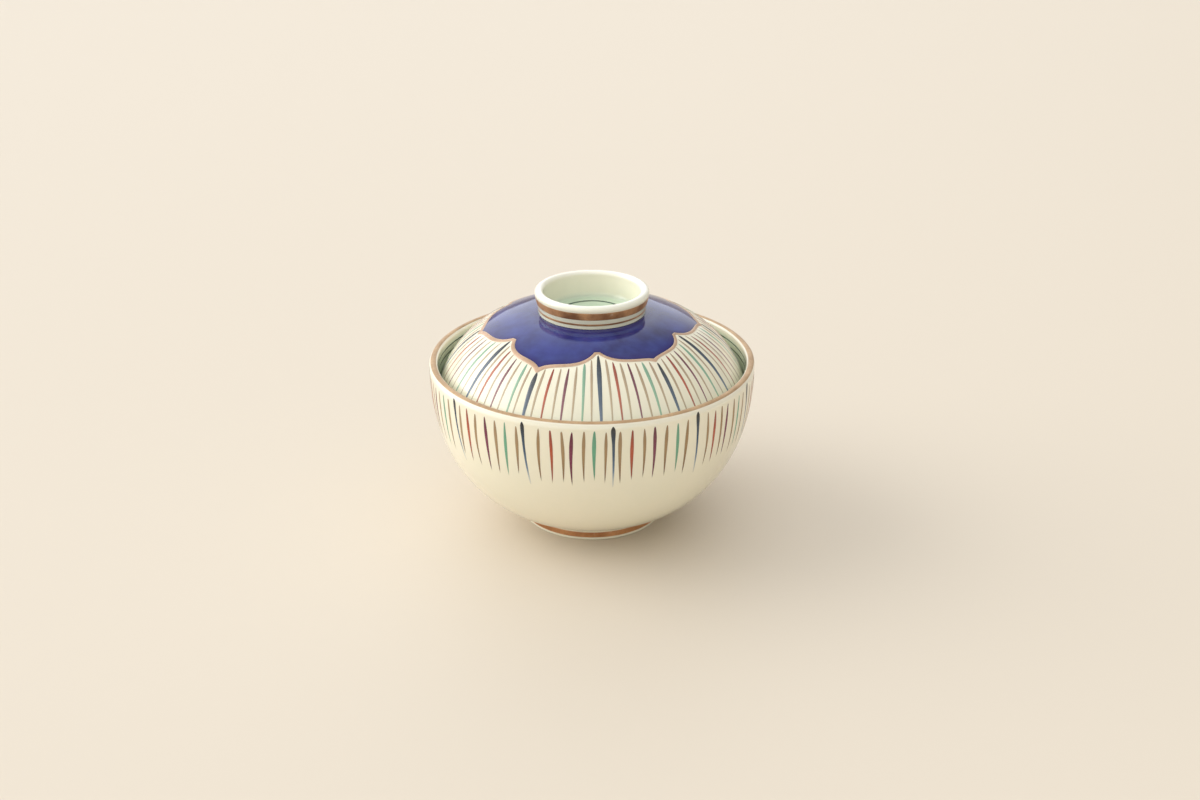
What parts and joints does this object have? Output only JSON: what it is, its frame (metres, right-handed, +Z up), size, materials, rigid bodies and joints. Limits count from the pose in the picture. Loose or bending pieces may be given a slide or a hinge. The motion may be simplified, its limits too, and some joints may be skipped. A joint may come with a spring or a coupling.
{
  "type": "lidded rice bowl",
  "caption": "Porcelain rice bowl on a foot ring, with a domed lid that drops inside its rim and lifts off by a ring-shaped knob.",
  "frame": {"origin": "centre of the bowl's foot ring, on the surface it stands on", "axes": "+Z up along the axis of both pieces; -Y towards the viewer, +X to the viewer's right"},
  "size_m": [0.1266, 0.1266, 0.0948],
  "materials": {
    "celadon_glaze": "gloss",
    "cobalt_glaze": "gloss",
    "gold_enamel": "satin",
    "navy_enamel": "gloss",
    "tan_enamel": "gloss",
    "red_enamel": "gloss",
    "purple_enamel": "gloss",
    "green_enamel": "gloss",
    "line_enamel": "gloss",
    "bare_porcelain": "matte"
  },
  "bodies": {
    "bowl": {"bowl": "celadon_glaze"},
    "lid": {"lid": "celadon_glaze"}
  },
  "joints": [
    {"name": "lid_lift", "type": "slide", "parent": "bowl", "child": "lid", "axis": [0, 0, 1], "range_m": [0, 0.06]}
  ]
}
